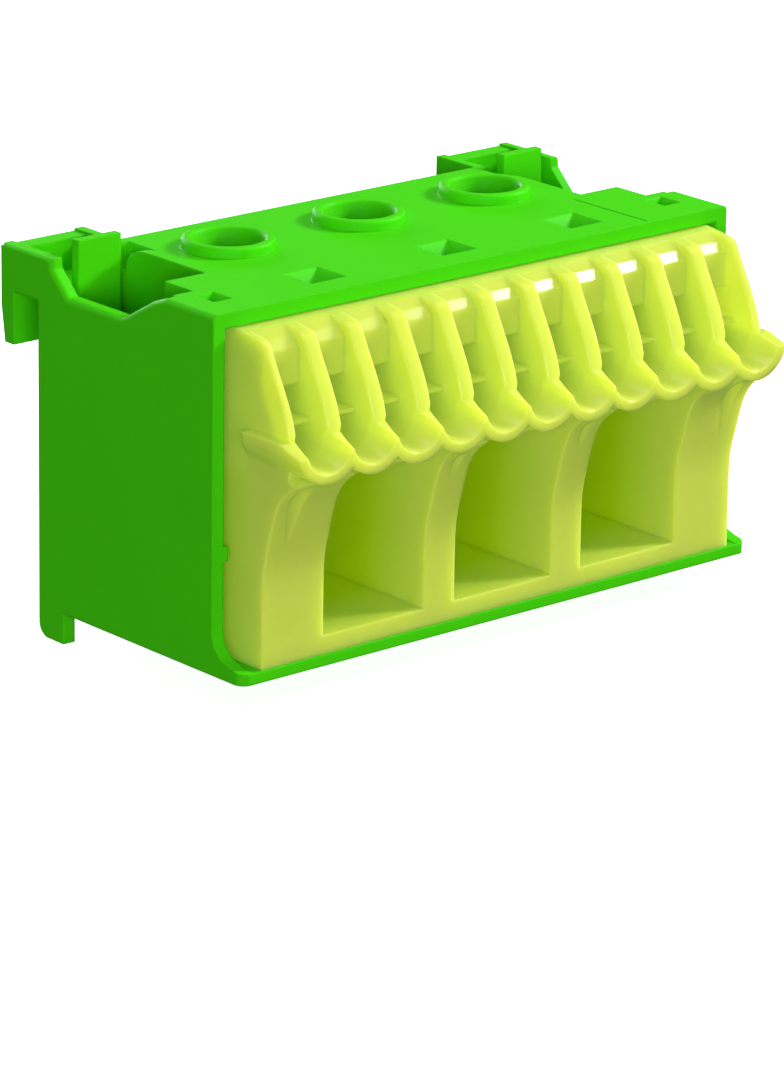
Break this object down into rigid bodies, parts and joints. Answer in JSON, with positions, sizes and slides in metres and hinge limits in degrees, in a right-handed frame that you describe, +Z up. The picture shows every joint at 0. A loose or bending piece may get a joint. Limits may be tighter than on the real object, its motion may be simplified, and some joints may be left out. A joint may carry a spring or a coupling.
{
  "type": "rail terminal block",
  "caption": "Protective-earth terminal block with clamp screws under round funnels and a row of push-in ways, hooks at the back hang on a carrier rail.",
  "frame": {"origin": "middle of the back face that lies against the carrier rail", "axes": "+Z up, the wire side faces -Y, the rail is behind at +Y, +X along the row of ways"},
  "size_m": [0.0598, 0.0392, 0.0362],
  "materials": {
    "green_plastic": "smooth moulded, semi-gloss",
    "clear_yellow_plastic": "translucent moulded, glossy",
    "tinned_copper": "tin-plated copper, satin",
    "plated_steel": "zinc-plated, satin",
    "spring_steel": "bright spring steel"
  },
  "bodies": {
    "block": {"housing": "green_plastic", "terminal_insert": "clear_yellow_plastic", "busbar": "tinned_copper", "contact_frame_01": "tinned_copper", "contact_frame_02": "tinned_copper", "contact_frame_03": "tinned_copper", "contact_frame_04": "tinned_copper", "contact_frame_05": "tinned_copper", "contact_frame_06": "tinned_copper", "contact_frame_07": "tinned_copper", "contact_frame_08": "tinned_copper", "contact_frame_09": "tinned_copper", "contact_frame_10": "tinned_copper", "contact_frame_11": "tinned_copper"},
    "screw_1": {"clamp_screw_1": "plated_steel"},
    "cage_1": {"clamp_cage_1": "plated_steel"},
    "screw_2": {"clamp_screw_2": "plated_steel"},
    "cage_2": {"clamp_cage_2": "plated_steel"},
    "screw_3": {"clamp_screw_3": "plated_steel"},
    "cage_3": {"clamp_cage_3": "plated_steel"},
    "spring_01": {"clamp_spring_01": "spring_steel"},
    "spring_02": {"clamp_spring_02": "spring_steel"},
    "spring_03": {"clamp_spring_03": "spring_steel"},
    "spring_04": {"clamp_spring_04": "spring_steel"},
    "spring_05": {"clamp_spring_05": "spring_steel"},
    "spring_06": {"clamp_spring_06": "spring_steel"},
    "spring_07": {"clamp_spring_07": "spring_steel"},
    "spring_08": {"clamp_spring_08": "spring_steel"},
    "spring_09": {"clamp_spring_09": "spring_steel"},
    "spring_10": {"clamp_spring_10": "spring_steel"},
    "spring_11": {"clamp_spring_11": "spring_steel"},
    "latch_left": {"latch_left": "green_plastic"},
    "latch_right": {"latch_right": "green_plastic"}
  },
  "joints": [
    {"name": "screw_turn_1", "type": "hinge", "parent": "block", "child": "screw_1", "pos_m": [-0.015, -0.0079, 0.0114], "axis": [0, 0, -1], "range_deg": [0, 2700]},
    {"name": "cage_lift_1", "type": "slide", "parent": "block", "child": "cage_1", "axis": [0, 0, 1], "range_m": [0, 0.006]},
    {"name": "screw_turn_2", "type": "hinge", "parent": "block", "child": "screw_2", "pos_m": [0, -0.0079, 0.0114], "axis": [0, 0, -1], "range_deg": [0, 2700]},
    {"name": "cage_lift_2", "type": "slide", "parent": "block", "child": "cage_2", "axis": [0, 0, 1], "range_m": [0, 0.006]},
    {"name": "screw_turn_3", "type": "hinge", "parent": "block", "child": "screw_3", "pos_m": [0.015, -0.0079, 0.0114], "axis": [0, 0, -1], "range_deg": [0, 2700]},
    {"name": "cage_lift_3", "type": "slide", "parent": "block", "child": "cage_3", "axis": [0, 0, 1], "range_m": [0, 0.006]},
    {"name": "spring_flex_01", "type": "hinge", "parent": "block", "child": "spring_01", "pos_m": [-0.025, -0.0225, 0.0092], "axis": [1, 0, 0], "range_deg": [0, 26], "stiffness_Nm_per_rad": 0.05, "springref_deg": -11.46},
    {"name": "spring_flex_02", "type": "hinge", "parent": "block", "child": "spring_02", "pos_m": [-0.02, -0.0225, 0.0092], "axis": [1, 0, 0], "range_deg": [0, 26], "stiffness_Nm_per_rad": 0.05, "springref_deg": -11.46},
    {"name": "spring_flex_03", "type": "hinge", "parent": "block", "child": "spring_03", "pos_m": [-0.015, -0.0225, 0.0092], "axis": [1, 0, 0], "range_deg": [0, 26], "stiffness_Nm_per_rad": 0.05, "springref_deg": -11.46},
    {"name": "spring_flex_04", "type": "hinge", "parent": "block", "child": "spring_04", "pos_m": [-0.01, -0.0225, 0.0092], "axis": [1, 0, 0], "range_deg": [0, 26], "stiffness_Nm_per_rad": 0.05, "springref_deg": -11.46},
    {"name": "spring_flex_05", "type": "hinge", "parent": "block", "child": "spring_05", "pos_m": [-0.005, -0.0225, 0.0092], "axis": [1, 0, 0], "range_deg": [0, 26], "stiffness_Nm_per_rad": 0.05, "springref_deg": -11.46},
    {"name": "spring_flex_06", "type": "hinge", "parent": "block", "child": "spring_06", "pos_m": [0, -0.0225, 0.0092], "axis": [1, 0, 0], "range_deg": [0, 26], "stiffness_Nm_per_rad": 0.05, "springref_deg": -11.46},
    {"name": "spring_flex_07", "type": "hinge", "parent": "block", "child": "spring_07", "pos_m": [0.005, -0.0225, 0.0092], "axis": [1, 0, 0], "range_deg": [0, 26], "stiffness_Nm_per_rad": 0.05, "springref_deg": -11.46},
    {"name": "spring_flex_08", "type": "hinge", "parent": "block", "child": "spring_08", "pos_m": [0.01, -0.0225, 0.0092], "axis": [1, 0, 0], "range_deg": [0, 26], "stiffness_Nm_per_rad": 0.05, "springref_deg": -11.46},
    {"name": "spring_flex_09", "type": "hinge", "parent": "block", "child": "spring_09", "pos_m": [0.015, -0.0225, 0.0092], "axis": [1, 0, 0], "range_deg": [0, 26], "stiffness_Nm_per_rad": 0.05, "springref_deg": -11.46},
    {"name": "spring_flex_10", "type": "hinge", "parent": "block", "child": "spring_10", "pos_m": [0.02, -0.0225, 0.0092], "axis": [1, 0, 0], "range_deg": [0, 26], "stiffness_Nm_per_rad": 0.05, "springref_deg": -11.46},
    {"name": "spring_flex_11", "type": "hinge", "parent": "block", "child": "spring_11", "pos_m": [0.025, -0.0225, 0.0092], "axis": [1, 0, 0], "range_deg": [0, 26], "stiffness_Nm_per_rad": 0.05, "springref_deg": -11.46},
    {"name": "latch_left_flex", "type": "hinge", "parent": "block", "child": "latch_left", "pos_m": [-0.0248, -0.00175, -0.0114], "axis": [1, 0, 0], "range_deg": [0, 4.5], "stiffness_Nm_per_rad": 0.3, "springref_deg": -1.15},
    {"name": "latch_right_flex", "type": "hinge", "parent": "block", "child": "latch_right", "pos_m": [0.0248, -0.00175, -0.0114], "axis": [1, 0, 0], "range_deg": [0, 4.5], "stiffness_Nm_per_rad": 0.3, "springref_deg": -1.15}
  ],
  "couplings": [
    {"joint": "screw_turn_1", "follows": "cage_lift_1", "rad_per_m": 7854},
    {"joint": "screw_turn_2", "follows": "cage_lift_2", "rad_per_m": 7854},
    {"joint": "screw_turn_3", "follows": "cage_lift_3", "rad_per_m": 7854}
  ]
}
